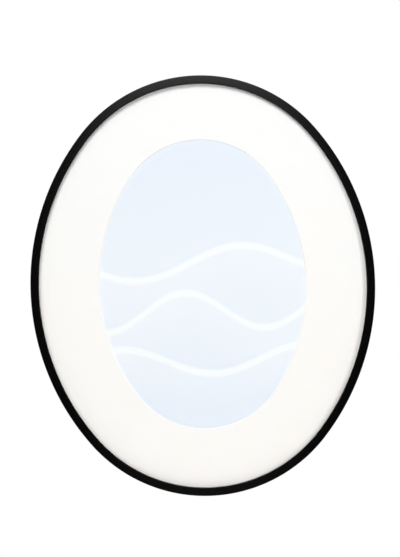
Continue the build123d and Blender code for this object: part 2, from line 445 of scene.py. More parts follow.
print("group", oval_group.name, "nodes", len(oval_group.nodes))

# %% [markdown]
# Paper tooth, felt, pulp, plating and rubber are all an even speckle, each at its own scale. One group serves
# them all, and each finish only names the scale and the two ends between which it wanders.

# %% Scatter a speckle
grit_detail = 4.0
grit_roughness = 0.6
grit_range = (0.3, 0.7)

speckle_group, given, made = new_group(
    "speckle",
    "ShaderNodeTree",
    {"Vector": arrow, "Scale": number, "Low": number, "High": number},
    {"Value": number},
)
grit = noise(speckle_group, given["Vector"], given["Scale"], grit_detail, grit_roughness)
speckled = ramp(speckle_group, grit, *grit_range, given["Low"], given["High"])
speckle_group.links.new(speckled, made["Value"])


def speckle(tree, place, scale, low=0.0, high=1.0):
    """Speckle between two values, with this many grains to the metre."""
    values = {"Vector": place, "Scale": scale, "Low": low, "High": high}
    return result(tree, "ShaderNodeGroup", values, node_tree=speckle_group)


print("group", speckle_group.name, "nodes", len(speckle_group.nodes))

# %% [markdown]
# Every finish starts alike: a shader with its fixed values, and a point measured from the middle of the oval.
# Relief from a bump is enough for tooth and grain, which are too shallow to show in an outline.

# %% Start every finish alike


def new_material(name, fixed):
    """Material with its fixed values on the shader, its tree, and a point measured from the oval's middle."""
    material, tree, shader = blank_material(name)
    for label, value in fixed.items():
        shader.inputs[label].default_value = value
    place = add(tree, "ShaderNodeTexCoord").outputs["Object"]
    return material, tree, shader, calc_vector(tree, "SUBTRACT", place, (0, 0, centre_z))


def facing_depth(tree):
    """How squarely a surface faces the wall: 1 at the back, -1 at the front."""
    return split(tree, add(tree, "ShaderNodeNewGeometry").outputs["Normal"])["Y"]


def emboss(tree, shader, height, depth, strength):
    """Relief of this depth in metres on the shader's normal."""
    bump = result(tree, "ShaderNodeBump", {"Height": height, "Distance": depth, "Strength": strength})
    tree.links.new(bump, shader.inputs["Normal"])


print("finishes are measured from", (0, 0, round(centre_z, 4)))

# %% [markdown]
# The rim is satin lacquer over wood: nearly black, with a broad soft shine and a trace of grain that runs
# round the oval. A straight wood texture would cut across the curve. Here the noise is read in four
# dimensions, the two parts of the facing direction, the inset and the depth, which leaves no seam. On the
# back the lacquer is thinner and the brown wood shows through.

# %% Mix the lacquer
grain_turns = 7.0
grain_lanes = 1100.0
grain_detail = 3.0
grain_relief = 0.00006
grain_strength = 0.25
lacquer_dark = (0.0005, 0.0005, 0.0006, 1)
lacquer_light = (0.0016, 0.0015, 0.0014, 1)
thin_dark = (0.008, 0.006, 0.005, 1)
thin_light = (0.035, 0.022, 0.014, 1)
thin_edge = (0.6, 0.9)
satin_roughness = (0.24, 0.32)
thin_roughness = 0.6

lacquer, tree, shader, place = new_material("satin_black_lacquer", {"IOR": 1.5})
oval = oval_in(tree, place, rim_arcs)
towards = split(tree, calc_vector(tree, "MULTIPLY", oval["Facing"], (grain_turns, 0, grain_turns)))
lane = calc(tree, "MULTIPLY", oval["Inset"], grain_lanes)
layer = calc(tree, "MULTIPLY", split(tree, place)["Y"], grain_lanes)
along = join(tree, towards["X"], towards["Z"], lane)
fibres = {"Vector": along, "W": layer, "Scale": 1.0, "Detail": grain_detail}
grain = result(tree, "ShaderNodeTexNoise", fibres, noise_dimensions="4D")
black = mix_colour(tree, grain, lacquer_dark, lacquer_light)
thin = mix_colour(tree, grain, thin_dark, thin_light)
on_back = ramp(tree, facing_depth(tree), *thin_edge)
tree.links.new(mix_colour(tree, on_back, black, thin), shader.inputs["Base Color"])
satin = mix_value(tree, grain, *satin_roughness)
tree.links.new(mix_value(tree, on_back, satin, thin_roughness), shader.inputs["Roughness"])
emboss(tree, shader, grain, grain_relief, grain_strength)
print("finish", lacquer.name)

# %% [markdown]
# Mat board is paper over a white core. The face has a fine tooth, and a faint warm shade is painted over its
# lower part: it grows towards the bottom, with a cloudy edge. The cut at the window shows the smoother core.
# The cut could have a material of its own, but one does both: the cut is wherever the surface doesn't face
# the viewer squarely.

# %% Make the mat board
tooth_scale = 1300
tooth_relief = 0.0001
tooth_strength = 0.12
paper_dark = (0.946, 0.944, 0.936, 1)
paper_light = (0.958, 0.956, 0.948, 1)
paper_painted_shade = (0.97, 0.936, 0.902, 1)
painted_shade_heights = (0.22, -0.12)
painted_shade_share = 0.8
cloud_scale = 14
cloud_swing = 0.08
core_white = (0.98, 0.98, 0.975, 1)
cut_edge = (0.8, 0.95)

paper_values = {"Roughness": 0.85, "Specular IOR Level": 0.2}
mat_board, tree, shader, place = new_material("toothed_mat_paper", paper_values)
tooth = speckle(tree, place, tooth_scale)
paper = mix_colour(tree, tooth, paper_dark, paper_light)
# Painted shade: from the middle down to the bottom the paper turns warmer and a little darker, with a noisy
# edge.
cloud = speckle(tree, place, cloud_scale, -cloud_swing, cloud_swing)
painted_shade = ramp(tree, calc(tree, "ADD", split(tree, place)["Z"], cloud), *painted_shade_heights, 0.0, painted_shade_share)
paper = mix_colour(tree, painted_shade, paper, paper_painted_shade)
cut = ramp(tree, calc(tree, "ABSOLUTE", facing_depth(tree)), *cut_edge, 1.0, 0.0)
tree.links.new(mix_colour(tree, cut, paper, core_white), shader.inputs["Base Color"])
emboss(tree, shader, tooth, tooth_relief, tooth_strength)
print("finish", mat_board.name)

# %% [markdown]
# The print is a pale blue field, a little deeper at the top and bottom. A gradient over the whole sheet would
# lose its ends under the mat, so the blue is measured against the height of the window.

# %% Ink the field
window_half_height = 0.2158
deeper_from = 0.15
ink_middle = (0.845, 0.893, 0.952, 1)
ink_ends = (0.803, 0.857, 0.94, 1)

ink_values = {"Roughness": 0.7, "Specular IOR Level": 0.25}
print_ink, tree, shader, place = new_material("wave_print_ink", ink_values)
spot = split(tree, place)
off_middle = calc(tree, "DIVIDE", calc(tree, "ABSOLUTE", spot["Z"]), window_half_height)
ink = mix_colour(tree, ramp(tree, off_middle, deeper_from, 1.0), ink_middle, ink_ends)
print("finish", print_ink.name)

# %% [markdown]
# The design is a plain one of long white waves. The lines could be modelled, but ink has no height, so they
# are sums on the sheet's own coordinates: the distance to each wave, turned into a soft band. Below each line
# the blue fades, and the paper's fibre shows through it all.

# %% Draw the waves
wave_lines = [
    {"height": 0.034, "swing": 0.024, "length": 0.31, "start": 0.4},
    {"height": -0.038, "swing": 0.028, "length": 0.24, "start": 2.3},
    {"height": -0.112, "swing": 0.02, "length": 0.28, "start": 4.4},
]
line_edge = (0.0033, 0.00715)
line_share = 0.85
fade_depth = 0.09
fade_share = 0.25
fibre_scale = 900
fibre_share = 0.06
fibre_relief = 0.00005
fibre_strength = 0.15
ink_faded = (0.95, 0.972, 0.985, 1)
ink_line = (0.955, 0.978, 0.985, 1)
ink_fibre = (0.78, 0.82, 0.87, 1)

for wave in wave_lines:
    turn = calc(tree, "MULTIPLY_ADD", spot["X"], 2 * pi / wave["length"], wave["start"])
    crest = calc(tree, "MULTIPLY_ADD", calc(tree, "SINE", turn), wave["swing"], wave["height"])
    above = calc(tree, "SUBTRACT", spot["Z"], crest)
    under = calc(tree, "LESS_THAN", above, 0.0)
    fade = calc(tree, "MULTIPLY", ramp(tree, above, -fade_depth, 0.0), under)
    ink = mix_colour(tree, calc(tree, "MULTIPLY", fade, fade_share), ink, ink_faded)
    near = ramp(tree, calc(tree, "ABSOLUTE", above), *line_edge, 1.0, 0.0)
    ink = mix_colour(tree, calc(tree, "MULTIPLY", near, line_share), ink, ink_line)
fibre = speckle(tree, place, fibre_scale)
ink = mix_colour(tree, calc(tree, "MULTIPLY", fibre, fibre_share), ink, ink_fibre)
tree.links.new(ink, shader.inputs["Base Color"])
emboss(tree, shader, fibre, fibre_relief, fibre_strength)
print("lines", len(wave_lines), "nodes", len(tree.nodes))

# %% [markdown]
# The pane is clear and almost flat, with the faintest smears. Glass in a renderer blocks the lamps' straight
# light, which would leave the mat behind it in shade, so rays on their way to a lamp pass as if through air.

# %% Clear the glazing
smear_scale = 22
smear_roughness = 0.025

glass_values = {"Base Color": (0.99, 0.997, 0.994, 1), "Transmission Weight": 1.0, "IOR": 1.49}
glazing_glass, tree, shader, place = new_material("smeared_clear_pane", glass_values)
tree.links.new(speckle(tree, place, smear_scale, 0.0, smear_roughness), shader.inputs["Roughness"])
ray = add(tree, "ShaderNodeLightPath").outputs
to_lamp = calc(tree, "MAXIMUM", ray["Is Shadow Ray"], ray["Is Diffuse Ray"])
give_way(tree, shader, to_lamp, result(tree, "ShaderNodeBsdfTransparent"))
print("finish", glazing_glass.name)

# %% [markdown]
# The back is hardboard, pressed from brown fibre. Its grain is at real scale, because a back is looked at
# from close to: a fine felt, with paler flecks and large faint patches over it. One noise of many octaves
# would look like a cloud, so each of the three has its own scale.

# %% Felt the hardboard
felt_scale = 420
patch_scale = 7
patch_share = 0.3
fleck_scale = 60
fleck_share = 0.2
board_dark = (0.165, 0.092, 0.048, 1)
board_light = (0.24, 0.145, 0.082, 1)
board_blotch = (0.27, 0.175, 0.105, 1)

board_values = {"Roughness": 0.75, "Specular IOR Level": 0.25}
hardboard, tree, shader, place = new_material("screen_pressed_board", board_values)
felt = speckle(tree, place, felt_scale)
brown = mix_colour(tree, felt, board_dark, board_light)
patches = speckle(tree, place, patch_scale, 0.0, patch_share)
flecks = speckle(tree, place, fleck_scale, 0.0, fleck_share)
brown = mix_colour(tree, calc(tree, "ADD", patches, flecks), brown, board_blotch)
print("finish", hardboard.name)

# %% [markdown]
# Dark strands lie in the felt, each a few millimetres long. One stretched noise would lay all of them in one
# direction, and two would look woven, so four are laid across each other and the strongest shows.

# %% Lay the strands
strand_stretch = (1500, 300, 170)
strand_angles = (0.35, 1.2, 1.9, 2.75)
strand_detail = 2.0
strand_edge = (0.66, 0.78)
strand_share = 0.5
board_strand = (0.07, 0.036, 0.019, 1)

strand = 0.0
for angle in strand_angles:
    turning = {"Vector": place, "Angle": angle}
    turned = result(tree, "ShaderNodeVectorRotate", turning, rotation_type="Y_AXIS")
    threads = noise(tree, calc_vector(tree, "MULTIPLY", turned, strand_stretch), 1.0, strand_detail)
    strand = calc(tree, "MAXIMUM", strand, threads)
brown = mix_colour(tree, ramp(tree, strand, *strand_edge, 0.0, strand_share), brown, board_strand)
print("strand layers", len(strand_angles))

# %% [markdown]
# The board is pressed on a wire screen, which leaves its weave in the rough side, and the saw leaves a
# paler, frayed edge all round. The weave could be modelled, but it is a tenth of a millimetre deep, so a
# bump made of two crossed sines is enough. The edge is found with the oval's inset.

# %% Press the screen and saw the edge
screen_pitch = 0.0017
weave_edge = (0.2, 1.0)
weave_share = 0.22
weave_rise = -0.4
weave_relief = 0.0002
weave_strength = 0.5
sawn_edge = 0.0022
sawn_share = 0.6
fray_scale = 300
fray = 0.001
board_weave = (0.1, 0.055, 0.028, 1)
board_sawn = (0.32, 0.215, 0.13, 1)

spot = split(tree, place)
weave_x = calc(tree, "SINE", calc(tree, "MULTIPLY", spot["X"], 2 * pi / screen_pitch))
weave_z = calc(tree, "SINE", calc(tree, "MULTIPLY", spot["Z"], 2 * pi / screen_pitch))
weave = calc(tree, "MULTIPLY", weave_x, weave_z)
brown = mix_colour(tree, ramp(tree, weave, *weave_edge, 0.0, weave_share), brown, board_weave)
inset = oval_in(tree, place, sheet_arcs("backing_board"))["Inset"]
frayed = calc(tree, "ADD", inset, speckle(tree, place, fray_scale, -fray, fray))
brown = mix_colour(tree, ramp(tree, frayed, sawn_edge, 0.0, 0.0, sawn_share), brown, board_sawn)
tree.links.new(brown, shader.inputs["Base Color"])
emboss(tree, shader, calc(tree, "MULTIPLY_ADD", weave, weave_rise, felt), weave_relief, weave_strength)
print("screen pitch", screen_pitch, "nodes", len(tree.nodes))

# %% [markdown]
# The filler is corrugated board, of brown kraft paper with flecks of pulp. It is seen only when the back is
# lifted out, so a plain speckle is enough.

# %% Make the filler's paper
pulp_scale = 700
pulp_relief = 0.0001
pulp_strength = 0.3
kraft_dark = (0.33, 0.2, 0.105, 1)
kraft_light = (0.44, 0.29, 0.165, 1)

corrugated, tree, shader, place = new_material("kraft_pulp_paper", paper_values)
pulp = speckle(tree, place, pulp_scale)
tree.links.new(mix_colour(tree, pulp, kraft_dark, kraft_light), shader.inputs["Base Color"])
emboss(tree, shader, pulp, pulp_relief, pulp_strength)
print("finish", corrugated.name)

# %% [markdown]
# The hardware is zinc-plated steel, cool and slightly cloudy, with lines from rolling. Metals need variation
# in their roughness more than in their colour, because that is what breaks up a reflection.

# %% Plate the hardware
rolling_stretch = (2600, 2600, 160)
rolling_detail = 2.0
rolling_roughness = 0.16
rolling_relief = 0.00002
rolling_strength = 0.2
plate_scale = 170
plate_roughness = (0.22, 0.34)
plate_cool = (0.44, 0.46, 0.485, 1)
plate_warm = (0.6, 0.59, 0.555, 1)

zinc, tree, shader, place = new_material("rolled_zinc_plate", {"Metallic": 1.0})
lines = noise(tree, calc_vector(tree, "MULTIPLY", place, rolling_stretch), 1.0, rolling_detail)
clouds = speckle(tree, place, plate_scale)
tree.links.new(mix_colour(tree, clouds, plate_cool, plate_warm), shader.inputs["Base Color"])
cloudy = mix_value(tree, clouds, *plate_roughness)
tree.links.new(calc(tree, "MULTIPLY_ADD", lines, rolling_roughness, cloudy), shader.inputs["Roughness"])
emboss(tree, shader, lines, rolling_relief, rolling_strength)
print("finish", zinc.name)

# %% [markdown]
# The ring is nickel-plated wire, drawn smooth and therefore brighter than the plate, with a little tarnish.
# The drawing lines are too fine to see one by one, so they only vary the roughness.

# %% Draw the ring's wire
drawn_scale = 900
drawn_roughness = (0.14, 0.26)
tarnish_scale = 120
nickel_bright = (0.68, 0.67, 0.64, 1)
nickel_dull = (0.54, 0.52, 0.48, 1)

nickel, tree, shader, place = new_material("drawn_nickel_wire", {"Metallic": 1.0})
tree.links.new(speckle(tree, place, drawn_scale, *drawn_roughness), shader.inputs["Roughness"])
tarnish = speckle(tree, place, tarnish_scale)
tree.links.new(mix_colour(tree, tarnish, nickel_bright, nickel_dull), shader.inputs["Base Color"])
print("finish", nickel.name)

# %% [markdown]
# The bumpers are moulded rubber: black, matt, with a fine skin and a pale bloom that comes with age. Plain
# black would look like a hole in the rim, and the bloom prevents that.

# %% Mould the bumpers' rubber
skin_scale = 2400
skin_roughness = (0.55, 0.72)
skin_relief = 0.00005
skin_strength = 0.3
bloom_scale = 260
rubber_dark = (0.016, 0.016, 0.017, 1)
rubber_bloom = (0.03, 0.03, 0.031, 1)

rubber, tree, shader, place = new_material("moulded_bumper_rubber", {"Specular IOR Level": 0.35})
skin = speckle(tree, place, skin_scale)
bloom = speckle(tree, place, bloom_scale)
tree.links.new(mix_colour(tree, bloom, rubber_dark, rubber_bloom), shader.inputs["Base Color"])
tree.links.new(mix_value(tree, skin, *skin_roughness), shader.inputs["Roughness"])
emboss(tree, shader, skin, skin_relief, skin_strength)
print("finish", rubber.name)

# %% [markdown]
# Most solids have the right shape and only take a finish. They could be rebuilt as the rim is below, but
# their flat faces and small rounds are already true. Each one's own slot is emptied and given the new
# material.

# %% Dress the solids


def dress(material, *names):
    """Give these solids one finish."""
    for name in names:
        slots = nodes[name].data.materials
        slots.clear()
        slots.append(material)


buttons = sorted(name for name in nodes if name.startswith("turn_button_"))
dress(print_ink, "picture_print")
dress(hardboard, "backing_board")
dress(zinc, "hanger_strap", *buttons)
dress(nickel, "hanger_ring")
dress(rubber, "bumper_left", "bumper_right")
print("buttons", len(buttons))

# %% [markdown]
# The rim is one moulding carried round the oval, and its lacquer runs over the joints, so it is one piece to
# the eye. The moulding's outline comes first. It is a hook: a wall behind, and a lip that reaches over the
# pane. Only its corners are written down, each with its own radius, and arcs are fitted into them.

# %% Draw the moulding
wall_width = 0.008
lip_width = 0.0047
lip_thickness = 0.0062
face_fall = 0.0016
outer_round = 0.0014
sight_round = 0.0008
back_ease = 0.0005
small_ease = 0.00015
corner_steps = 6

face_width = wall_width + lip_width
rim_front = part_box("glazing")[0].y - lip_thickness
rim_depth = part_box("rim_top")[1].y - rim_front


def rounded(corners):
    """Closed outline in which each corner is an arc of its own radius."""
    outline = []
    for index, (corner, radius) in enumerate(corners):
        corner = Vector(corner)
        back = (Vector(corners[index - 1][0]) - corner).normalized()
        on = (Vector(corners[(index + 1) % len(corners)][0]) - corner).normalized()
        half = back.angle(on) / 2
        middle = corner + (back + on).normalized() * (radius / sin(half))
        first = corner + back * (radius * cos(half) / sin(half)) - middle
        last = corner + on * (radius * cos(half) / sin(half)) - middle
        for step in range(corner_steps + 1):
            outline.append(middle + first.slerp(last, step / corner_steps) * radius)
    return outline


moulding = rounded(
    [
        ((0, face_fall), outer_round),
        ((0, rim_depth), back_ease),
        ((-wall_width, rim_depth), small_ease),
        ((-wall_width, lip_thickness), small_ease),
        ((-face_width, lip_thickness), small_ease),
        ((-face_width, 0), sight_round),
    ]
)
print("moulding points", len(moulding), "depth", round(rim_depth, 5))

# %% [markdown]
# The face is not quite flat: it swells a little in the middle, as a sanded face does. A parabola over the
# face's width gives that crown. The outline then becomes a curve, which is what a sweep wants.

# %% Crown the face
face_crown = 0.00015
face_steps = 14

face_start, face_end = moulding[-1], moulding[0]
moulding += [face_start.lerp(face_end, step / face_steps) for step in range(1, face_steps)]
for point in moulding:
    if point.y < lip_thickness / 2:
        share = -point.x / face_width
        point.y -= 4 * face_crown * share * (1 - share)

curve = bpy.data.curves.new("moulding", "CURVE")
spline = curve.splines.new("POLY")
spline.points.add(len(moulding) - 1)
for target, point in zip(spline.points, moulding):
    target.co = (point.x, point.y, 0, 1)
spline.use_cyclic_u = True
moulding_curve = put("moulding", curve)
print("curve points", len(spline.points), "front", round(min(point.y for point in moulding), 6))

# %% [markdown]
# The rim could be traced by hand as a mesh, but its shape follows a rule, and Geometry Nodes can state the
# rule: bend a circle into the oval, then sweep the moulding along it. On a unit circle a point's own
# coordinates are the direction that the oval faces there. The tree asks whether that direction belongs to a
# side arc or an end arc, and moves the point onto that arc.

# %% Bend a circle into the oval
rim_tree, given, made = new_group(
    "swept_oval",
    "GeometryNodeTree",
    {
        **arc_sockets,
        "Steps": "NodeSocketInt",
        "Place": arrow,
        "Profile": "NodeSocketObject",
        "Finish": "NodeSocketMaterial",
    },
    {"Geometry": "NodeSocketGeometry"},
)
circle = result(rim_tree, "GeometryNodeCurvePrimitiveCircle", {"Resolution": given["Steps"], "Radius": 1.0})
spot = split(rim_tree, result(rim_tree, "GeometryNodeInputPosition"))
centres = join(rim_tree, given["Side Centre"], given["End Centre"], 0.0)
joint_rise = calc(rim_tree, "DIVIDE", given["End Centre"], calc_vector(rim_tree, "LENGTH", centres))
on_side = calc(rim_tree, "LESS_THAN", calc(rim_tree, "ABSOLUTE", spot["Y"]), joint_rise)
on_end = calc(rim_tree, "SUBTRACT", 1.0, on_side)
radius = mix_value(rim_tree, on_side, given["End Radius"], given["Side Radius"])
side_sign = calc(rim_tree, "MULTIPLY", calc(rim_tree, "SIGN", spot["X"]), on_side)
end_sign = calc(rim_tree, "MULTIPLY", calc(rim_tree, "SIGN", spot["Y"]), on_end)
side_shift = calc(rim_tree, "MULTIPLY", side_sign, given["Side Centre"])
end_shift = calc(rim_tree, "MULTIPLY", end_sign, given["End Centre"])
bent_x = calc(rim_tree, "SUBTRACT", calc(rim_tree, "MULTIPLY", radius, spot["X"]), side_shift)
bent_y = calc(rim_tree, "MULTIPLY_ADD", radius, spot["Y"], end_shift)
bent = join(rim_tree, bent_x, bent_y, 0.0)
path = result(rim_tree, "GeometryNodeSetPosition", {"Geometry": circle, "Position": bent})
print("tree", rim_tree.name, "nodes", len(rim_tree.nodes))

# %% [markdown]
# The sweep leaves the moulding lying flat, so it is turned upright and set in its place. The tree then ends
# as every tree here does: copies become real geometry, because an export would drop them, and take their
# finish.

# %% Sweep the moulding


def hand_over(tree, geometry, given, made):
    """End a tree with real geometry in its finish."""
    whole = result(tree, "GeometryNodeRealizeInstances", {"Geometry": geometry})
    finished = result(tree, "GeometryNodeSetMaterial", {"Geometry": whole, "Material": given["Finish"]})
    tree.links.new(finished, made["Geometry"])


profile = add(rim_tree, "GeometryNodeObjectInfo", {"Object": given["Profile"]}).outputs["Geometry"]
swept = result(rim_tree, "GeometryNodeCurveToMesh", {"Curve": path, "Profile Curve": profile})
raising = {"Geometry": swept, "Translation": given["Place"], "Rotation": (pi / 2, 0, 0)}
upright = result(rim_tree, "GeometryNodeTransform", raising)
hand_over(rim_tree, upright, given, made)
print("tree", rim_tree.name, "nodes", len(rim_tree.nodes))

# %% [markdown]
# A tree's result is kept as a plain mesh, so that nothing is left to be worked out later. The rim then stands
# in for the four lengths that the workshop glued together.

# %% Grow the rim
rim_steps = 720
rim_crease = radians(32)


def settle(piece, modifier):
    """Swap a piece's mesh for what its modifier makes of it."""
    graph = bpy.context.evaluated_depsgraph_get()
    mesh = bpy.data.meshes.new_from_object(piece.evaluated_get(graph), depsgraph=graph)
    piece.modifiers.remove(modifier)
    bare = piece.data
    piece.data = mesh
    bpy.data.meshes.remove(bare)
    mesh.name = piece.name


def grow(name, tree, values, base=None):
    """Plain mesh piece that a Geometry Nodes tree makes from these inputs."""
    piece = put(name, base or bpy.data.meshes.new(name))
    modifier = piece.modifiers.new(tree.name, "NODES")
    modifier.node_group = tree
    for socket in tree.interface.items_tree:
        if socket.in_out == "INPUT" and socket.name in values:
            modifier[socket.identifier] = values[socket.name]
    settle(piece, modifier)
    return piece


def smooth(piece, crease):
    """Shade smooth, apart from edges sharper than the crease."""
    piece.data.shade_smooth()
    piece.data.set_sharp_from_angle(angle=crease)


rim = grow(
    "rim_moulding",
    rim_tree,
    {
        **rim_arcs,
        "Steps": rim_steps,
        "Place": (0.0, rim_front, centre_z),
        "Profile": moulding_curve,
        "Finish": lacquer,
    },
)
smooth(rim, rim_crease)
bpy.data.objects.remove(moulding_curve)
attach(rim, "frame")
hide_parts("rim_top", "rim_right", "rim_bottom", "rim_left")
print("rim faces", len(rim.data.polygons), "widest", round(max(v.co.x for v in rim.data.vertices), 5))

# %% [markdown]
# The pane and the mat are flat ovals with worked edges. A filled curve could make the sheets, but not those
# edges. Here each sheet is a row of rings, one for every edge, with a skin stretched from ring to ring. The
# same skin later makes turned parts, whose outline ends in a ring of a single point.

# %% Stretch a skin over rings
sheet_steps = 720


def oval_ring(arcs, inset, depth, middle=centre_z):
    """Points of an oval drawn this far inside the arcs, at one depth and about this height."""
    joint = arcs["End Centre"] / hypot(arcs["Side Centre"], arcs["End Centre"])
    ring = []
    for step in range(sheet_steps):
        across = cos(2 * pi * step / sheet_steps)
        upward = sin(2 * pi * step / sheet_steps)
        side = abs(upward) < joint
        radius = arcs["Side Radius" if side else "End Radius"] - inset
        x = radius * across - (arcs["Side Centre"] if side else 0) * (1 if across > 0 else -1)
        z = radius * upward + (0 if side else arcs["End Centre"]) * (1 if upward > 0 else -1)
        ring.append((x, depth, middle + z))
    return ring


def stretch_skin(name, rings, looped=False):
    """Object with a skin from ring to ring, looped back to its first ring or else closed at both ends."""
    shape = bmesh.new()
    rings = [[shape.verts.new(point) for point in ring] for ring in rings]
    if looped:
        rings.append(rings[0])
    else:
        for end in (rings[0], rings[-1]):
            if len(end) > 1:
                shape.faces.new(end)
    for near, far in zip(rings, rings[1:]):
        for step in range(max(len(near), len(far))):
            walk = ((near, step - 1), (near, step), (far, step), (far, step - 1))
            corners = dict.fromkeys(ring[index % len(ring)] for ring, index in walk)
            shape.faces.new(corners)
    bmesh.ops.recalc_face_normals(shape, faces=shape.faces)
    return put_shape(name, shape)


print("points in a sheet's ring", len(oval_ring(rim_arcs, 0, 0)))

# %% [markdown]
# A glazier takes the sharp corners off a pane with a stone, so it has four rings. It stops a hair short of
# the mat, because two surfaces in the very same place would fight in the picture.

# %% Cut the pane
pane_arris = 0.0003
mat_gap = 0.00006

pane_arcs = sheet_arcs("glazing")
pane_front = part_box("glazing")[0].y
pane_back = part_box("glazing")[1].y - mat_gap
pane = stretch_skin(
    "glazing_pane",
    [
        oval_ring(pane_arcs, pane_arris, pane_front),
        oval_ring(pane_arcs, 0, pane_front + pane_arris),
        oval_ring(pane_arcs, 0, pane_back - pane_arris),
        oval_ring(pane_arcs, pane_arris, pane_back),
    ],
)
pane.data.materials.append(glazing_glass)
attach(pane, "frame")
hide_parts("glazing")
print("pane thickness", round(pane_back - pane_front, 5), "faces", len(pane.data.polygons))

# %% [markdown]
# The mat's window is cut at 45 degrees, so that its white core shows as a thin line. The cut runs outwards to
# the front by as much as the board is thick, and the window sits a little above the middle.

# %% Cut the mat
window_half_width = 0.154
window_rise = 0.002

mat_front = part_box("window_mat")[0].y
mat_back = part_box("window_mat")[1].y
mat_thickness = mat_back - mat_front
mat_arcs = sheet_arcs("window_mat")
window_arcs = four_arcs(window_half_width, window_half_height)
window_middle = centre_z + window_rise
mat = stretch_skin(
    "window_mat_board",
    [
        oval_ring(mat_arcs, 0, mat_front),
        oval_ring(mat_arcs, 0, mat_back),
        oval_ring(window_arcs, 0, mat_back, window_middle),
        oval_ring(window_arcs, -mat_thickness, mat_front, window_middle),
    ],
    looped=True,
)
mat.data.materials.append(mat_board)
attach(mat, "frame")
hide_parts("window_mat")
print("mat thickness", round(mat_thickness, 5), "faces", len(mat.data.polygons))

# %% [markdown]
# The filler is corrugated board: a fluted sheet between two flat ones. Its flutes could be drawn once and
# repeated with an array, but the oval cuts each one to another length. So the tree starts from a grid of many
# columns. The grid is two high, so its points lie one above and one below the middle, and a column that is
# stretched by its own half length ends on the oval.

# %% End each column on the oval
flute_tree, given, made = new_group(
    "fluted_oval",
    "GeometryNodeTree",
    {
        **arc_sockets,
        "Columns": "NodeSocketInt",
        "Width": number,
        "Pitch": number,
        "Swing": number,
        "Liner": number,
        "Paper": number,
        "Place": arrow,
        "Finish": "NodeSocketMaterial",
    },
    {"Geometry": "NodeSocketGeometry"},
)
columns = {"Size X": given["Width"], "Size Y": 2.0, "Vertices X": given["Columns"], "Vertices Y": 2}
grid = result(flute_tree, "GeometryNodeMeshGrid", columns)
spot = split(flute_tree, result(flute_tree, "GeometryNodeInputPosition"))
across = calc(flute_tree, "ABSOLUTE", spot["X"])
centres = join(flute_tree, given["Side Centre"], given["End Centre"], 0.0)
joint_share = calc(flute_tree, "DIVIDE", given["Side Centre"], calc_vector(flute_tree, "LENGTH", centres))
joint = calc(flute_tree, "MULTIPLY", given["End Radius"], joint_share)
on_side = calc(flute_tree, "GREATER_THAN", across, joint)
radius = mix_value(flute_tree, on_side, given["End Radius"], given["Side Radius"])
run = calc(flute_tree, "MULTIPLY_ADD", on_side, given["Side Centre"], across)
slope = calc(flute_tree, "ARCSINE", calc(flute_tree, "DIVIDE", run, radius))
rise = calc(flute_tree, "MULTIPLY", radius, calc(flute_tree, "COSINE", slope))
lift = mix_value(flute_tree, on_side, given["End Centre"], 0.0)
upward = calc(flute_tree, "MULTIPLY", calc(flute_tree, "ADD", rise, lift), spot["Y"])
print("tree", flute_tree.name, "nodes", len(flute_tree.nodes))

# %% [markdown]
# The same grid serves three times: as the front liner, as the sheet that is bent into waves, and as the back
# liner. Each could be thickened afterwards by a modifier, but the tree knows the paper's thickness. It pushes
# the sheet out by that much, closes it with a copy of itself that faces the other way, and welds the two.

# %% Flute the middle sheet
weld_distance = 0.00001

turn = calc(flute_tree, "MULTIPLY", calc(flute_tree, "DIVIDE", spot["X"], given["Pitch"]), 2 * pi)
wave = calc(flute_tree, "MULTIPLY", calc(flute_tree, "SINE", turn), given["Swing"])
front_liner = calc(flute_tree, "MULTIPLY", given["Liner"], -1.0)
half_paper = calc(flute_tree, "MULTIPLY", given["Paper"], 0.5)
thickening = join(flute_tree, 0.0, calc(flute_tree, "MULTIPLY", given["Paper"], -1.0), 0.0)
layers = add(flute_tree, "GeometryNodeJoinGeometry")
for middle in (front_liner, wave, given["Liner"]):
    laid = join(flute_tree, spot["X"], calc(flute_tree, "ADD", middle, half_paper), upward)
    sheet = result(flute_tree, "GeometryNodeSetPosition", {"Geometry": grid, "Position": laid})
    pushing = {"Mesh": sheet, "Offset": thickening, "Offset Scale": 1.0, "Individual": False}
    pushed = result(flute_tree, "GeometryNodeExtrudeMesh", pushing, mode="FACES")
    turned = result(flute_tree, "GeometryNodeFlipFaces", {"Mesh": sheet})
    for side in (pushed, turned):
        flute_tree.links.new(side, layers.inputs[0])
welding = {"Geometry": layers.outputs[0], "Distance": weld_distance}
welded = result(flute_tree, "GeometryNodeMergeByDistance", welding)
placed = result(flute_tree, "GeometryNodeTransform", {"Geometry": welded, "Translation": given["Place"]})
hand_over(flute_tree, placed, given, made)
print("tree", flute_tree.name, "nodes", len(flute_tree.nodes))

# %% [markdown]
# The flutes run up and down, with the pitch of common board. Their crests stay a film of glue away from the
# two liners, so that each sheet keeps a skin of its own.

# %% Grow the filler
flute_pitch = 0.0078
columns_per_flute = 12
filler_paper = 0.0003
glue_film = 0.00003
side_margin = 0.999
flute_crease = radians(32)

filler_low, filler_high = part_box("filler_board")
filler_width = 2 * side_margin * filler_high.x
liner_offset = (filler_high.y - filler_low.y - filler_paper) / 2
filler = grow(
    "fluted_filler",
    flute_tree,
    {
        **sheet_arcs("filler_board"),
        "Columns": round(columns_per_flute * filler_width / flute_pitch),
        "Width": filler_width,
        "Pitch": flute_pitch,
        "Swing": liner_offset - filler_paper - glue_film,
        "Liner": liner_offset,
        "Paper": filler_paper,
        "Place": (0.0, (filler_low.y + filler_high.y) / 2, centre_z),
        "Finish": corrugated,
    },
)
smooth(filler, flute_crease)
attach(filler, "frame")
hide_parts("filler_board")
depths = [vertex.co.y for vertex in filler.data.vertices]
print("filler faces", len(filler.data.polygons), "thickness", round(max(depths) - min(depths), 5))

# %% [markdown]
# Screws and rivets are turned parts. One outline from axis to axis, spun round, gives every ring of the skin.
# Their heads are caps of a ball, so the outline needs only the cap's edge and its top.

# %% Turn an outline
turn_steps = 40
dome_steps = 8


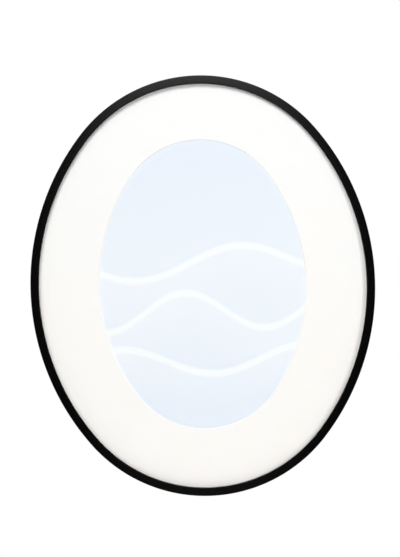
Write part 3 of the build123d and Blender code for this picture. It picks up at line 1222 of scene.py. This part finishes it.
def dome(radius, base, top):
    """Outline of a round cap, from its edge to the axis."""
    rise = top - base
    ball = (radius**2 + rise**2) / (2 * rise)
    cap = []
    for step in range(dome_steps + 1):
        out = radius * (1 - step / dome_steps)
        cap.append((out, top - ball + (ball**2 - out**2) ** 0.5))
    return cap


def turned_rings(outline):
    """Rings about Z of a part turned from an outline of radius and height."""
    rings = []
    for radius, height in outline:
        angles = [2 * pi * step / turn_steps for step in range(turn_steps if radius else 1)]
        rings.append([(radius * cos(angle), radius * sin(angle), height) for angle in angles])
    return rings


print("rings in a dome", len(turned_rings(dome(1, 0, 0.5))))

# %% [markdown]
# The screw's head has a cross for the driver. It could be two bars cut one after the other, but their floors
# would lie in one plane, which leaves slivers. One bar with a section like a plus cuts clean.

# %% Turn the screw
screw_radius = 0.0013
screw_head_radius = 0.0027
screw_head_edge = 0.0005
screw_head_height = 0.0015
screw_length = 0.012
screw_point = 0.002
cross_width = 0.0007
cross_length = 0.0028
cross_depth = 0.0008


def plus_ring(width, length, height):
    """Outline of a plus sign at one height, made of a quarter that is turned four times."""
    half = width / 2
    reach = length / 2
    ring = []
    for quarter in range(4):
        turn = 1j**quarter
        for corner in (complex(reach, -half), complex(reach, half), complex(half, half)):
            ring.append(((corner * turn).real, (corner * turn).imag, height))
    return ring


screw = stretch_skin(
    "screw",
    turned_rings(
        [
            (0, -screw_length),
            (screw_radius, screw_point - screw_length),
            (screw_radius, 0),
            (screw_head_radius, 0),
            *dome(screw_head_radius, screw_head_edge, screw_head_height),
        ]
    ),
)
driver_heights = (screw_head_height - cross_depth, screw_head_height + cross_depth)
driver = stretch_skin("driver", [plus_ring(cross_width, cross_length, height) for height in driver_heights])
cutting = screw.modifiers.new("cross", "BOOLEAN")
cutting.object = driver
settle(screw, cutting)
bpy.data.objects.remove(driver)
print("screw faces", len(screw.data.polygons))

# %% [markdown]
# A rivet has a round head at the back of the strap, and its tail is spread into the front of the board.
# Head, shank and tail could be three pieces, but they share one axis, so one outline makes them all.

# %% Turn the rivet
rivet_radius = 0.0015
rivet_head_radius = 0.0028
rivet_head_height = 0.001
rivet_tail_radius = 0.0025

rivet_low, rivet_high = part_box("hanger_rivets")
rivet_grip = rivet_high.y - rivet_low.y - rivet_head_height
rivet = stretch_skin(
    "rivet",
    turned_rings(
        [
            (0, 0),
            (rivet_tail_radius, 0),
            (rivet_radius, rivet_tail_radius - rivet_radius),
            (rivet_radius, rivet_grip),
            *dome(rivet_head_radius, rivet_grip, rivet_grip + rivet_head_height),
        ]
    ),
)
print("rivet faces", len(rivet.data.polygons), "grip", round(rivet_grip, 5))

# %% [markdown]
# Copies could be placed one by one, but a tree that stands one fastener on each point also turns every screw
# to where it happened to stop, from a fixed seed.

# %% State a row of fasteners
fastener_tree, given, made = new_group(
    "fastener_row",
    "GeometryNodeTree",
    {
        "Geometry": "NodeSocketGeometry",
        "Fastener": "NodeSocketObject",
        "Turn": number,
        "Seed": "NodeSocketInt",
        "Finish": "NodeSocketMaterial",
    },
    {"Geometry": "NodeSocketGeometry"},
)
stock = add(fastener_tree, "GeometryNodeObjectInfo", {"Object": given["Fastener"]}).outputs["Geometry"]
standing = {"Points": given["Geometry"], "Instance": stock, "Rotation": (-pi / 2, 0, 0)}
row = result(fastener_tree, "GeometryNodeInstanceOnPoints", standing)
limits = {2: 0.0, 3: given["Turn"], "Seed": given["Seed"]}
chance = add(fastener_tree, "FunctionNodeRandomValue", limits, data_type="FLOAT").outputs[1]
spinning = {"Instances": row, "Rotation": join(fastener_tree, 0.0, 0.0, chance)}
spun = result(fastener_tree, "GeometryNodeRotateInstances", spinning)
hand_over(fastener_tree, spun, given, made)
print("tree", fastener_tree.name, "nodes", len(fastener_tree.nodes))

# %% [markdown]
# The screws stand where the buttons turn, so their places are read from the joints. The rivets stand one
# above the other in the strap. Each row is one piece, because its fasteners never move apart.

# %% Set the fasteners
fastener_crease = radians(28)
fastener_seed = 7


def fasten(name, fastener, places, turn):
    """One piece of fasteners, with one on each place, spun by up to this turn."""
    points = bpy.data.meshes.new(name)
    points.from_pydata(places, [], [])
    values = {"Fastener": fastener, "Turn": turn, "Seed": fastener_seed, "Finish": zinc}
    piece = grow(name, fastener_tree, values, points)
    smooth(piece, fastener_crease)
    bpy.data.objects.remove(fastener)
    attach(piece, "frame")
    return piece


head_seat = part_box("pivot_screws")[1].y - screw_head_height
pivots = [Vector(joint["pos_m"]) for joint in frame["joints"] if joint["child"] in buttons]
screws = fasten("pivot_screw_set", screw, [(pivot.x, head_seat, pivot.z) for pivot in pivots], pi)
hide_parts("pivot_screws")
rivet_heights = (rivet_low.z + rivet_head_radius, rivet_high.z - rivet_head_radius)
rivets = fasten("hanger_rivet_set", rivet, [(0, rivet_low.y, height) for height in rivet_heights], 0.0)
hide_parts("hanger_rivets")
print("screws", len(pivots), "faces", len(screws.data.polygons), "rivet faces", len(rivets.data.polygons))

# %% [markdown]
# Last, the dressed frame's box is measured against the construction's, and how far it reaches outside that
# box is printed in millimetres. The finishes must not make the object any larger.

# %% Compare the sizes
new_low, new_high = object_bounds()
below = [round(1000 * (old - new), 3) for old, new in zip(cad_low, new_low)]
above = [round(1000 * (new - old), 3) for old, new in zip(cad_high, new_high)]
print("millimetres outside the construction's box", below, above)
